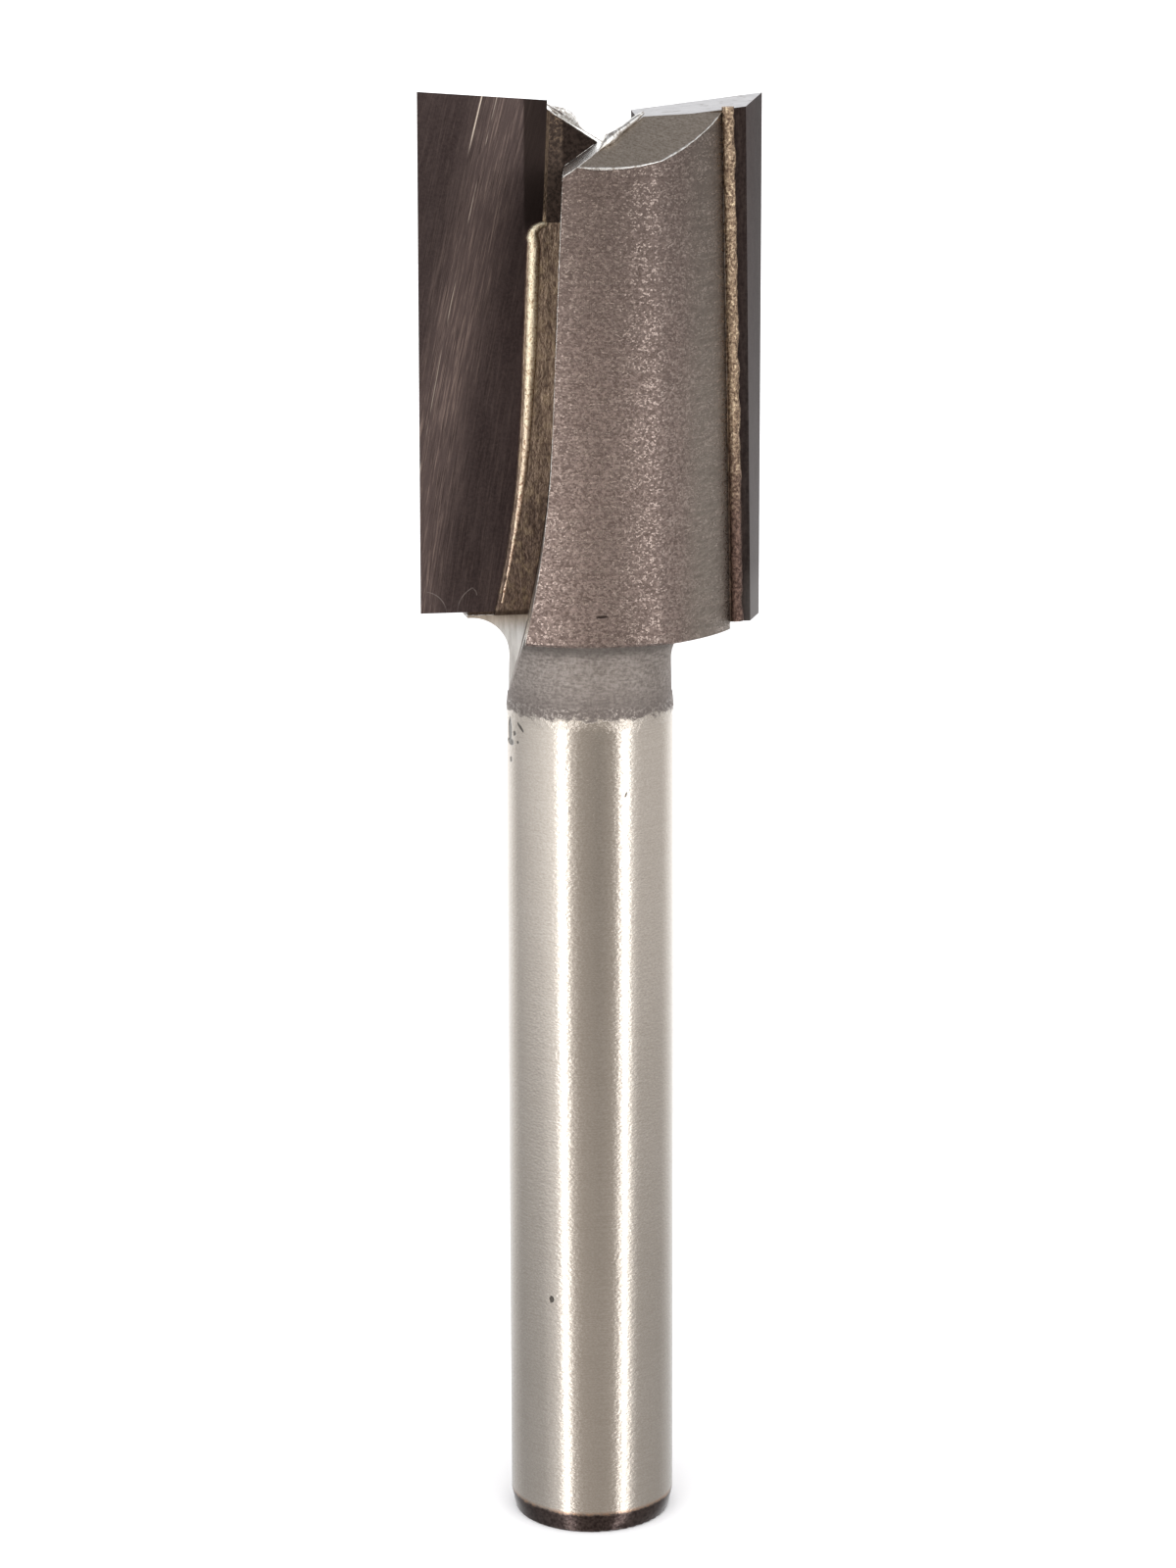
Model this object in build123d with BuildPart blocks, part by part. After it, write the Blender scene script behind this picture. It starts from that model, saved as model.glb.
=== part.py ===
from build123d import *
import os
from math import acos, asin, cos, degrees, radians, sin, tan

# Straight router bit with two brazed carbide tips and a quarter-inch shank, in millimetres.
# It stands on the end of its shank: the origin is the centre of that end, and +Z runs up the
# tool axis to the cutting end. It cuts while turning anticlockwise seen from the cutting end.
# Everything on the head is drawn for side "b", whose tip lies along +X and looks to +Y;
# side "a" is the same geometry after half a turn about the axis.

# ---- heights along the axis -------------------------------------------------------------
overall_length = 54.95
tip_length = 19.25
head_length = 19.53          # steel head, from its underside to the points of the tips
neck_length = 3.22           # from the head's underside down to the ground shank

# ---- turned steel -----------------------------------------------------------------------
shank_diameter = 6.35        # a quarter of an inch
neck_diameter = 6.14         # left as turned, at its narrow end by the head
neck_taper_width = 0.045     # widening of the neck towards the ground shank
neck_fillet = 1.4
neck_step = 0.12             # height of the step between ground shank and neck
head_diameter = 11.9
head_rim_chamfer = 0.1
underside_hollow = 0.12      # the underside of the head rises by this much towards the neck
foot_taper_width = 0.16      # lead-in at the shank's end
foot_taper_height = 0.75
foot_round = 0.1

# ---- carbide tips -----------------------------------------------------------------------
cutting_diameter = 12.7      # half an inch
tip_thickness = 1.6
hook_angle = 10.0            # rake of the faces in plan
shear_angle = 2.5            # lean of the faces along the axis
side_relief = 13.0           # behind the long cutting edges
end_relief = 12.0            # behind the end cutting edges
end_dish = {"a": 4.0, "b": 7.0}    # fall of each end edge towards the axis, hand ground

# ---- flutes, cut by a large disc cutter that leaves by the neck -------------------------
flute_wall = 1.3             # from the axis to the wall, where the run-out starts
wall_lean = 2.9              # the web thickens towards the shank
cutter_radius = 40.0
run_out_height = 7.3         # above the lower end of the tips

# ---- seats and braze --------------------------------------------------------------------
braze_gap = 0.12
shoulder_width = 0.6         # steel left between seat and flute wall
ledge_reach = 4.6            # from the axis to the outer end of the ledge under a tip
braze_spread = 0.28          # alloy run out past the steel behind a tip
bead_width = 1.3             # alloy run over the seam, from the flute wall outwards
bead_thickness = 0.24
bead_edge = 0.2              # rounding of its edges
bead_corner = 0.5            # rounding of its upper corner, seen on the face
bead_length = 14.6

# ---- grinding on the head ---------------------------------------------------------------
back_relief_depth = 0.4      # steel behind the tips is turned off centre
back_relief_offset = 2.2
back_relief_turn = -24.0     # direction in which that relief is deepest
facet_drop = 0.56            # end facets of the steel start this far below the points
facet_angle = 35.3
facet_turn = -4.1            # in plan, against the back of the tip
gash_drop = {"a": 2.11, "b": 1.63}     # floor of each end gash on the axis, below the points
gash_angle = {"a": 35.0, "b": 32.8}
gash_tilt = 0.4              # fall of those floors on their way out of the flute

margin = 3.0                 # how far cutting shapes run past the metal

# ---- worked out from the above ----------------------------------------------------------
cutting_radius = cutting_diameter / 2
shank_radius = shank_diameter / 2
neck_radius = neck_diameter / 2
head_radius = head_diameter / 2
tip_base = overall_length - tip_length
head_base = overall_length - head_length
ground_length = head_base - neck_length
hook, shear, lean = radians(hook_angle), radians(shear_angle), radians(wall_lean)
inward = Vector(-cos(hook), -sin(hook))      # along a face, from the cutting edge to the web
forward = Vector(-sin(hook), cos(hook))      # the way a face looks, in plan
across = Vector(0, 1, 0)                     # along a flute wall, out of the flute
up = Vector(0, 0, 1)
gash_way = across - up * tan(radians(gash_tilt))
face_plane = Plane(
    origin=(cutting_radius, 0, tip_base),
    x_dir=inward,
    z_dir=forward * cos(shear) + up * sin(shear),
)
sides = {"a": 180.0, "b": 0.0}


def turned(shape, turn):
    """The same plane or vector after a turn about the tool axis."""
    if isinstance(shape, Vector):
        return shape.rotate(Axis.Z, turn)
    return Plane(Rot(0, 0, turn) * shape.location)


def on_face(x, z):
    """Place on the face plane, in its own axes, of the point at x and z."""
    v = (z - tip_base) / cos(shear)
    u = (cutting_radius - x + v * sin(shear) * sin(hook)) / cos(hook)
    return Vector(u, v)


def close_outside(lower, upper):
    """Close an outline around the outside of the head."""
    Polyline(lower, (-margin, lower.Y), (-margin, upper.Y), upper)


def wall_sweep(inset, floor):
    """Draw the wall left by the cutter, from above the head down and out in an arc.

    The wall is moved into the flute by inset. The arc stops at the height floor, or,
    where floor is None, once it is clear of the shank.
    """
    start = on_face(flute_wall, tip_base + run_out_height) + Vector(-cos(lean), sin(lean)) * inset
    rise = on_face(0, overall_length + margin).Y - start.Y
    radius = cutter_radius - inset
    if floor is None:
        way_out = start.X - on_face(shank_radius + margin, tip_base).X
        sweep_angle = acos(cos(lean) - way_out / radius)
    else:
        drop = start.Y - on_face(0, floor).Y
        sweep_angle = asin(sin(lean) + drop / radius)
    straight = Line(start + Vector(tan(lean), 1) * rise, start)
    return straight, JernArc(start, straight % 1, radius, wall_lean - degrees(sweep_angle))


def flute_sketch(turn):
    """Outline of a flute, on the face plane of the tip at this turn."""
    with BuildSketch(turned(face_plane, turn)) as outline:
        with BuildLine():
            straight, run_out = wall_sweep(0, None)
            close_outside(run_out @ 1, straight @ 0)
        make_face()
    return outline.sketch


def seat_sketch(turn, step):
    """Outline of a seat, whose floor goes down by step outside the ledge under the tip."""
    ledge_end = on_face(ledge_reach, tip_base).X
    with BuildSketch(turned(face_plane, turn)) as outline:
        with BuildLine():
            straight, run_out = wall_sweep(shoulder_width, tip_base - braze_gap)
            floor_end = Vector(ledge_end, (run_out @ 1).Y)
            stepped = floor_end - Vector(0, step)
            Polyline(run_out @ 1, floor_end, stepped)
            close_outside(stepped, straight @ 0)
        make_face()
    return outline.sketch


def tip_sketch():
    """Outline that trims the inner end of a tip to its seat, less the braze."""
    with BuildSketch(face_plane) as outline:
        with BuildLine():
            straight, run_out = wall_sweep(shoulder_width + braze_gap, tip_base - margin)
            close_outside(run_out @ 1, straight @ 0)
        make_face()
    return outline.sketch


def gash_sketch(side, turn):
    """Outline of the end gash that clears the inner end of a side's tip, at this turn."""
    floor = overall_length - gash_drop[side]
    top = overall_length + margin
    fall = tan(radians(gash_angle[side]))
    with BuildSketch(turned(face_plane, turn)) as outline:
        with BuildLine():
            Polyline(
                on_face((floor - top) / fall, top),
                on_face(margin, floor - fall * margin),
                on_face(margin, top),
                close=True,
            )
        make_face()
    return outline.sketch


def back_relief_sketch(spread=0.0):
    """Off-centre circle to which the steel behind a tip is turned."""
    centre = Vector(-back_relief_offset, 0).rotate(Axis.Z, back_relief_turn)
    with BuildSketch(Plane.XY) as outline:
        with Locations(centre):
            Circle(head_radius - back_relief_depth + back_relief_offset + spread)
    return outline.sketch


def tip_section(height):
    """Plan corners of a tip at a height above its lower end, and its cutting edge first."""
    behind_axis = cutting_radius * sin(hook) + height * tan(shear)
    edge_turn = hook - asin(behind_axis / cutting_radius)
    relief_turn = edge_turn - radians(side_relief)
    edge = Vector(cos(edge_turn), sin(edge_turn)) * cutting_radius
    back = forward * (-tip_thickness / cos(shear))
    relief_way = Vector(sin(relief_turn), -cos(relief_turn))
    heel = edge + relief_way * (back.dot(forward) / relief_way.dot(forward))
    inner = edge + inward * cutting_radius
    return [edge, heel, inner + back, inner]


def end_plane(dish):
    """Plane of a tip's end relief, through the end cutting edge."""
    point = tip_section(tip_length)[0] + up * overall_length
    along = inward - up * tan(radians(dish))
    behind = -forward - up * tan(radians(end_relief))
    return Plane(origin=point, x_dir=along, z_dir=along.cross(behind))


def facet_plane():
    """Plane of the end facet ground on the steel behind a tip."""
    slope = radians(facet_angle)
    back = -forward * ((tip_thickness + braze_gap) / cos(shear))
    point = tip_section(tip_length)[0] + back + up * (overall_length - facet_drop)
    downhill = turned(-forward, facet_turn)
    return Plane(
        origin=point,
        x_dir=turned(inward, facet_turn),
        z_dir=up * cos(slope) + downhill * sin(slope),
    )


# ---- steel body: shank, neck and two-lobed head in one piece -----------------------------
with BuildPart() as steel_body:
    with BuildSketch(Plane.XZ):
        with BuildLine():
            Polyline(
                (0, 0),
                (shank_radius - foot_taper_width, 0),
                (shank_radius, foot_taper_height),
                (shank_radius, ground_length),
                (neck_radius + neck_taper_width, ground_length + neck_step),
                (neck_radius, head_base + underside_hollow),
                (head_radius, head_base),
                (head_radius, overall_length),
                (0, overall_length),
                close=True,
            )
        make_face()
        fillet(
            vertices().sort_by_distance((neck_radius, head_base + underside_hollow))[0],
            radius=neck_fillet,
        )
        fillet(vertices().sort_by_distance((shank_radius, 0))[0], radius=foot_round)
        chamfer(vertices().sort_by_distance((head_radius, head_base))[0], length=head_rim_chamfer)
    revolve(axis=Axis.Z)

    for side, turn in sides.items():
        # off-centre relief of the steel behind the tip
        with BuildSketch(Plane.XY.offset(head_base)):
            Circle(cutting_diameter)
            add(back_relief_sketch(), rotation=turn, mode=Mode.SUBTRACT)
        extrude(amount=head_length, mode=Mode.SUBTRACT)
        extrude(
            flute_sketch(turn),
            amount=cutting_diameter,
            dir=turned(across, turn),
            mode=Mode.SUBTRACT,
        )
        extrude(
            seat_sketch(turn, step=margin),
            amount=(tip_thickness + braze_gap) / cos(shear),
            dir=turned(-forward, turn),
            mode=Mode.SUBTRACT,
        )
        # end facet
        with BuildSketch(turned(facet_plane(), turn)):
            Rectangle(2 * cutting_diameter, 2 * cutting_diameter)
        extrude(amount=cutting_diameter, mode=Mode.SUBTRACT)
        extrude(
            gash_sketch(side, turn),
            amount=cutting_diameter,
            dir=turned(gash_way, turn),
            mode=Mode.SUBTRACT,
        )


def make_tip(side):
    """Carbide tip of a side, with the dish of its own end edge."""
    with BuildPart() as tip:
        for height in (0, tip_length):
            with BuildSketch(Plane.XY.offset(tip_base + height)):
                with BuildLine():
                    Polyline(*tip_section(height), close=True)
                make_face()
        loft(ruled=True)
        extrude(
            tip_sketch(),
            amount=cutting_radius,
            dir=-forward,
            both=True,
            mode=Mode.INTERSECT,
        )
        split(bisect_by=end_plane(end_dish[side]), keep=Keep.BOTTOM)
    return tip.part


def make_braze(side, tip):
    """Alloy that fills the seat around a tip and runs over the seam on its face."""
    other_side = "b" if side == "a" else "a"
    with BuildPart() as braze:
        extrude(
            seat_sketch(0, step=-braze_gap / cos(shear)),
            amount=(tip_thickness + braze_gap) / cos(shear),
            dir=-forward,
        )
        extrude(back_relief_sketch(braze_spread), amount=overall_length, mode=Mode.INTERSECT)
        add(tip, mode=Mode.SUBTRACT)
        split(bisect_by=end_plane(end_dish[side]), keep=Keep.BOTTOM)
        extrude(
            gash_sketch(other_side, 180),
            amount=cutting_diameter,
            dir=turned(gash_way, 180),
            mode=Mode.SUBTRACT,
        )
        add(make_bead())
    return braze.part


def bead_sketch():
    """Outline on the face plane of the alloy run over the seam, carried on into the steel."""
    foot = on_face(0, tip_base - braze_gap - margin)
    with BuildSketch(face_plane) as outline:
        with BuildLine():
            straight, run_out = wall_sweep(bead_width, None)
            Polyline(run_out @ 1, (foot.X, (run_out @ 1).Y), (foot.X, (straight @ 0).Y), straight @ 0)
        make_face()
        with Locations(foot):
            Rectangle(
                2 * cutting_diameter,
                bead_length + margin,
                align=(Align.CENTER, Align.MIN),
                mode=Mode.INTERSECT,
            )
        upper = vertices().sort_by(Axis.Y)[-2:]
        fillet(upper.sort_by(Axis.X)[0], radius=bead_corner)
    return outline.sketch


def make_bead():
    """Alloy run over the seam between a tip's face and the flute wall, rounded at its edges."""
    with BuildPart() as bead:
        extrude(bead_sketch(), amount=bead_thickness, dir=forward)
        top = bead.faces().sort_by(Axis((0, 0, 0), face_plane.z_dir))[-1]
        fillet(top.edges(), radius=bead_edge)
        extrude(flute_sketch(0), amount=cutting_diameter, dir=across, mode=Mode.INTERSECT)
        split(bisect_by=Plane.XY.offset(tip_base - braze_gap), keep=Keep.TOP)
    return bead.part


# ---- pieces -----------------------------------------------------------------------------
os.makedirs("parts", exist_ok=True)
steel_body.part.label = "steel_body"
export_step(steel_body.part, "parts/steel_body.step")

for side, turn in sides.items():
    tip = make_tip(side)
    braze = make_braze(side, tip)
    for name, piece in (("carbide_tip", tip), ("braze", braze)):
        placed = Rot(0, 0, turn) * piece
        placed.label = f"{name}_{side}"
        export_step(placed, f"parts/{name}_{side}.step")
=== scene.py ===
from math import asin, cos, pi, radians, sin, sqrt

import bmesh
import bpy
from mathutils import Matrix, Vector, noise


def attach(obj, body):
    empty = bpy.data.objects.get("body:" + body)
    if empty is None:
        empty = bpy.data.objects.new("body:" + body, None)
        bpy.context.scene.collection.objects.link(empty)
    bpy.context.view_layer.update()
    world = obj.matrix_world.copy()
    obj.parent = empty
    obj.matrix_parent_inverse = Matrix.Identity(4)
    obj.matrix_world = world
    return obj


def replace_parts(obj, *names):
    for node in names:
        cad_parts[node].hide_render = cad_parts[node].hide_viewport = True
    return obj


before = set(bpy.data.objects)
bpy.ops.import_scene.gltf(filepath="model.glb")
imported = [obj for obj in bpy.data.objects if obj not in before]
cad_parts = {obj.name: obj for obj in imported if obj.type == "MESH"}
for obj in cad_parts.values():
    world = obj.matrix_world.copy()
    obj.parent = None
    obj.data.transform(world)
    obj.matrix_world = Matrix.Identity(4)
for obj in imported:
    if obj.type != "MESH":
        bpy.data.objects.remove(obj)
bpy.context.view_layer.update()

# Straight router bit, dressed over its CAD frame. Sizes are in millimetres in the finishes, in
# the flute's shape and along paths, and where a name ends in _mm or a value goes through mm().
# Meshes, the floor and the camera are in metres. The bit stands on its shank's end with the
# cutting end up; side "a" is the tip on -X, side "b" the one on +X.

cutting_radius_mm = 6.35
ground_top_mm = 32.2          # where the ground shank ends and the neck begins
neck_step_mm = 0.12           # height of the step there
step_wear_mm = 0.4            # how much higher its worn slope reaches
head_base_mm = 35.42          # underside of the head
tip_base_mm = 35.7
overall_mm = 54.95
back_mm = 1.72                # thickness of a tip and the alloy behind it
wall_mm = 1.3                 # from the axis to a flute's wall, where its run-out starts
run_out_mm = 7.3              # height of that place above the tips' lower end
cutter_mm = 40.0              # radius of the run-out
bead_mm = 1.3                 # width of the alloy run over a tip's seam
bead_top_mm = 14.6            # its upper end, above the tips' lower end
relief_centre_mm = (-2.01, 0.895)    # of the off-centre skin behind tip "b"
relief_radius_mm = 7.75
hook = radians(10.0)
shear = radians(2.5)
wall_lean = radians(2.9)
half_turn = {"a": Matrix.Rotation(pi, 4, "Z"), "b": Matrix.Identity(4)}


def mm(*values):
    """Millimetres to metres, as one number or as a vector."""
    return values[0] / 1000 if len(values) == 1 else Vector(values) / 1000


# ---- finishes ---------------------------------------------------------------------------


class Finish:
    """Node tree of one finish, built a node at a time. Its places are in millimetres."""

    def __init__(self, name):
        self.material = bpy.data.materials.new(name)
        self.material.use_nodes = True
        self.tree = self.material.node_tree
        self.tree.nodes.clear()
        self.coordinates = self.add("ShaderNodeTexCoord")
        self.place = self.vector("SCALE", self.coordinates.outputs["Object"], scale=1000.0)
        parts = self.add("ShaderNodeSeparateXYZ", {0: self.place})
        self.x, self.y, self.z = parts.outputs

    def add(self, kind, inputs=None, **settings):
        node = self.tree.nodes.new(kind)
        for name, value in settings.items():
            setattr(node, name, value)
        for socket, value in (inputs or {}).items():
            self.set(node.inputs[socket], value)
        return node

    def set(self, socket, value):
        if isinstance(value, bpy.types.NodeSocket):
            self.tree.links.new(value, socket)
        else:
            socket.default_value = value

    def calc(self, operation, *values, clamp=False):
        node = self.add("ShaderNodeMath", operation=operation, use_clamp=clamp)
        for socket, value in zip(node.inputs, values):
            self.set(socket, value)
        return node.outputs[0]

    def vector(self, operation, *values, scale=None):
        node = self.add("ShaderNodeVectorMath", operation=operation)
        for socket, value in zip(node.inputs, values):
            self.set(socket, value)
        if scale is not None:
            self.set(node.inputs["Scale"], scale)
        return node.outputs["Vector"]

    def weighed(self, one, share, other):
        """Mean of two values that gives the first this share."""
        return self.calc("ADD", self.calc("MULTIPLY", one, share),
                         self.calc("MULTIPLY", other, 1.0 - share))

    def ragged_height(self, pattern, reach):
        """Height of the place, shifted up and down by a pattern."""
        return self.calc("ADD", self.z, self.calc("MULTIPLY", self.calc("SUBTRACT", pattern, 0.5), reach))

    def stretched(self, x, y, z, turn=(0.0, 0.0, 0.0)):
        """The place, turned and then stretched by these factors."""
        turned = self.add("ShaderNodeVectorRotate", {"Vector": self.place, "Rotation": turn},
                          rotation_type="EULER_XYZ")
        return self.vector("MULTIPLY", turned.outputs[0], (x, y, z))

    def noise(self, place, scale, detail=2.0, roughness=0.5):
        node = self.add("ShaderNodeTexNoise", {"Vector": place, "Scale": scale, "Detail": detail,
                                               "Roughness": roughness})
        return node.outputs[0]

    def cells(self, place, scale):
        return self.add("ShaderNodeTexVoronoi", {"Vector": place, "Scale": scale})

    def fade(self, value, low, high, to_low=0.0, to_high=1.0):
        """Smooth step of a value between low and high."""
        node = self.add("ShaderNodeMapRange", {"Value": value, "From Min": low, "From Max": high,
                                               "To Min": to_low, "To Max": to_high},
                        interpolation_type="SMOOTHSTEP", clamp=True)
        return node.outputs[0]

    def between(self, value, low, high, soft):
        """One between low and high, and nothing outside, with soft edges."""
        return self.calc("MULTIPLY", self.fade(value, low - soft, low + soft),
                         self.fade(value, high - soft, high + soft, 1.0, 0.0))

    def mark(self, x, z, wide, tall, slant=0.0):
        """One inside a small oval on the front of a piece, nothing outside it."""
        up = self.calc("SUBTRACT", self.z, z)
        along = self.calc("SUBTRACT", self.calc("SUBTRACT", self.x, x),
                          self.calc("MULTIPLY", up, slant))
        across, up = self.calc("DIVIDE", along, wide), self.calc("DIVIDE", up, tall)
        spread = self.calc("ADD", self.calc("MULTIPLY", across, across), self.calc("MULTIPLY", up, up))
        return self.calc("MULTIPLY", self.fade(spread, 1.4, 0.5), self.calc("LESS_THAN", self.y, 0.0))

    def mix(self, amount, low, high):
        node = self.add("ShaderNodeMix", data_type="RGBA", clamp_factor=True)
        self.set(node.inputs[0], amount)
        for socket, value in ((node.inputs[6], low), (node.inputs[7], high)):
            self.set(socket, (*value, 1.0) if isinstance(value, tuple) else value)
        return node.outputs[2]

    def bump(self, height, distance, strength=1.0, below=None):
        """Relief of this height times a distance in millimetres."""
        inputs = {"Height": height, "Distance": mm(distance), "Strength": strength}
        if below is not None:
            inputs["Normal"] = below
        return self.add("ShaderNodeBump", inputs).outputs[0]

    def metal(self, colour, roughness, normal=None, metallic=1.0, **sockets):
        shader = self.add("ShaderNodeBsdfPrincipled")
        self.set(shader.inputs["Base Color"], colour if not isinstance(colour, tuple) else (*colour, 1.0))
        self.set(shader.inputs["Roughness"], roughness)
        self.set(shader.inputs["Metallic"], metallic)
        if normal is not None:
            self.set(shader.inputs["Normal"], normal)
        for name, value in sockets.items():
            self.set(shader.inputs[name.replace("_", " ").title()], value)
        self.add("ShaderNodeOutputMaterial", {"Surface": shader.outputs[0]})
        return self.material


def shank_steel():
    """Ground shank, with the dull neck above a ragged line and the burnt lead-in below."""
    f = Finish("ground_shank_steel")
    rings = f.noise(f.stretched(0.6, 0.6, 26.0), 1.0, 3.0, 0.6)
    fine = f.noise(f.stretched(5.0, 5.0, 9.0), 2.2, 2.0)
    clouds = f.noise(f.stretched(0.35, 0.35, 0.3), 1.0, 2.0)
    grain = f.weighed(rings, 0.35, fine)
    ground = f.mix(f.fade(grain, 0.3, 0.7), (0.51, 0.455, 0.40), (0.61, 0.56, 0.505))
    ground = f.mix(f.fade(clouds, 0.35, 0.7, 0.0, 0.25), ground, (0.48, 0.43, 0.375))
    # the neck, dull and darker towards its lower edge, which is ragged
    ragged = f.noise(f.stretched(1.6, 1.6, 2.4), 1.6, 5.0, 0.7)
    grit = f.noise(f.place, 8.0, 3.0, 0.7)
    height = f.ragged_height(ragged, 0.8)
    neck = f.fade(height, ground_top_mm - 0.08, ground_top_mm + 0.10)
    oxide = f.fade(height, ground_top_mm + 0.1, ground_top_mm + 1.5, 1.0, 0.0)
    drag = f.noise(f.stretched(2.0, 2.0, 9.0), 1.5, 3.0, 0.65)
    tone = f.weighed(grit, 0.55, drag)
    dull = f.mix(f.fade(tone, 0.35, 0.65), (0.235, 0.205, 0.188), (0.44, 0.395, 0.365))
    dull = f.mix(f.calc("MULTIPLY", oxide, 0.62), dull, (0.175, 0.148, 0.138))
    # painted shade: the fillet lies in the head's shade and is painted darker there
    painted_shade_under_head = f.between(f.z, head_base_mm - 0.78, head_base_mm + 0.5, 0.22)
    dull = f.mix(f.calc("MULTIPLY", painted_shade_under_head, 0.6), dull, (0.13, 0.115, 0.105))
    colour = f.mix(neck, ground, dull)
    # pits just below the neck, and a dent lower down: across, up, half width, half height, slant
    ovals = ((-2.99, 31.45, 0.065, 0.46, 0.0), (-2.97, 31.02, 0.11, 0.13, 0.0),
             (-2.82, 31.40, 0.05, 0.09, 0.0), (-2.60, 31.72, 0.055, 0.16, -0.7),
             (-2.70, 31.10, 0.04, 0.05, 0.0), (-2.97, 30.34, 0.04, 0.10, 0.0),
             (1.33, 29.35, 0.035, 0.09, 0.3), (-1.54, 9.50, 0.09, 0.13, 0.0))
    pits = None
    for x, z, wide, tall, slant in ovals:
        oval = f.mark(x, z, wide, tall, slant)
        pits = oval if pits is None else f.calc("MAXIMUM", pits, oval)
    colour = f.mix(f.calc("MULTIPLY", pits, 0.85), colour, (0.055, 0.048, 0.04))
    # the lead-in at the end, burnt dark with a copper line above it
    low = f.ragged_height(ragged, 0.3)
    copper = f.calc("MULTIPLY", f.between(low, 0.74, 0.88, 0.08),
                    f.fade(ragged, 0.35, 0.6, 0.2, 0.75))
    burnt = f.fade(low, 0.72, 0.86, 1.0, 0.0)
    colour = f.mix(copper, colour, (0.46, 0.23, 0.12))
    scorch = f.mix(f.fade(grit, 0.35, 0.65), (0.040, 0.028, 0.026), (0.098, 0.074, 0.068))
    colour = f.mix(burnt, colour, scorch)
    # where the ground skin runs out it is broken up into small bright flats
    edge = f.between(height, ground_top_mm - 0.30, ground_top_mm + 0.42, 0.12)
    glint = f.calc("MULTIPLY", edge, f.fade(grit, 0.50, 0.60))
    colour = f.mix(f.calc("MULTIPLY", glint, 0.22), colour, (0.56, 0.51, 0.46))
    polished, dulled = (0.13, 0.13, 0.13), (0.58, 0.58, 0.58)
    rough = f.calc("ADD", f.mix(neck, polished, dulled), f.calc("MULTIPLY", grain, 0.08))
    rough = f.calc("SUBTRACT", rough, f.calc("MULTIPLY", glint, 0.38), clamp=True)
    relief = f.bump(f.noise(f.stretched(7.0, 7.0, 12.0), 1.0, 2.0), 0.010, 0.9)
    relief = f.bump(f.calc("MULTIPLY", neck, tone), 0.03, 0.7, relief)
    broken = f.fade(height, ground_top_mm - 0.5, ground_top_mm)
    relief = f.bump(f.calc("MULTIPLY", broken, grit), 0.03, 0.8, relief)
    relief = f.bump(pits, -0.08, 1.0, relief)
    return f.metal(colour, rough, relief)


def head_steel():
    """Turned and blasted skin of the head: brown-grey and finely pitted, its grit glinting."""
    f = Finish("blasted_head_steel")
    grit = f.cells(f.stretched(1.0, 1.0, 1.25), 14.0)
    grit_tone = f.add("ShaderNodeSeparateColor", {0: grit.outputs["Color"]}).outputs[0]
    soft = f.noise(f.place, 6.0, 4.0, 0.65)
    rings = f.noise(f.stretched(0.4, 0.4, 6.0), 1.0, 3.0, 0.6)
    tone = f.weighed(soft, 0.6, grit_tone)
    skin = f.mix(f.fade(tone, 0.28, 0.72), (0.150, 0.110, 0.096), (0.350, 0.270, 0.240))
    # greener and finer towards the tip's back, with slanting strokes
    late = f.calc("MULTIPLY", f.x, f.calc("MULTIPLY", f.calc("SIGN", f.y), -1.0))
    strokes = f.noise(f.stretched(1.0, 1.0, 9.0, (0.0, 0.45, 0.0)), 1.6, 3.0, 0.6)
    worn_tone = f.fade(f.weighed(strokes, 0.6, soft), 0.3, 0.7)
    worn = f.mix(worn_tone, (0.165, 0.138, 0.118), (0.285, 0.245, 0.212))
    colour = f.mix(f.fade(late, 3.0, 4.2), skin, worn)
    colour = f.mix(f.fade(rings, 0.4, 0.7, 0.0, 0.22), colour, (0.36, 0.285, 0.255))
    # darker towards the cutting end and in a broad upright band
    colour = f.mix(f.fade(f.z, 41.0, 54.0, 0.0, 0.52), colour, (0.10, 0.078, 0.070))
    band = f.calc("MULTIPLY", f.between(late, 0.4, 3.4, 1.0), 0.22)
    colour = f.mix(band, colour, (0.10, 0.080, 0.072))
    glint = f.calc("MULTIPLY", f.fade(grit_tone, 0.66, 0.84), f.fade(rings, 0.34, 0.54))
    colour = f.mix(f.calc("MULTIPLY", glint, 0.35), colour, (0.48, 0.40, 0.36))
    rough = f.calc("SUBTRACT", 0.48, f.calc("MULTIPLY", glint, 0.32))
    nick = f.mark(0.44, 36.57, 0.19, 0.05, 1.2)
    colour = f.mix(nick, colour, (0.05, 0.035, 0.03))
    relief = f.bump(rings, 0.05, 0.5)
    relief = f.bump(f.calc("ADD", tone, f.calc("MULTIPLY", nick, -2.0)), 0.05, 1.0, relief)
    return f.metal(colour, rough, relief)


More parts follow.
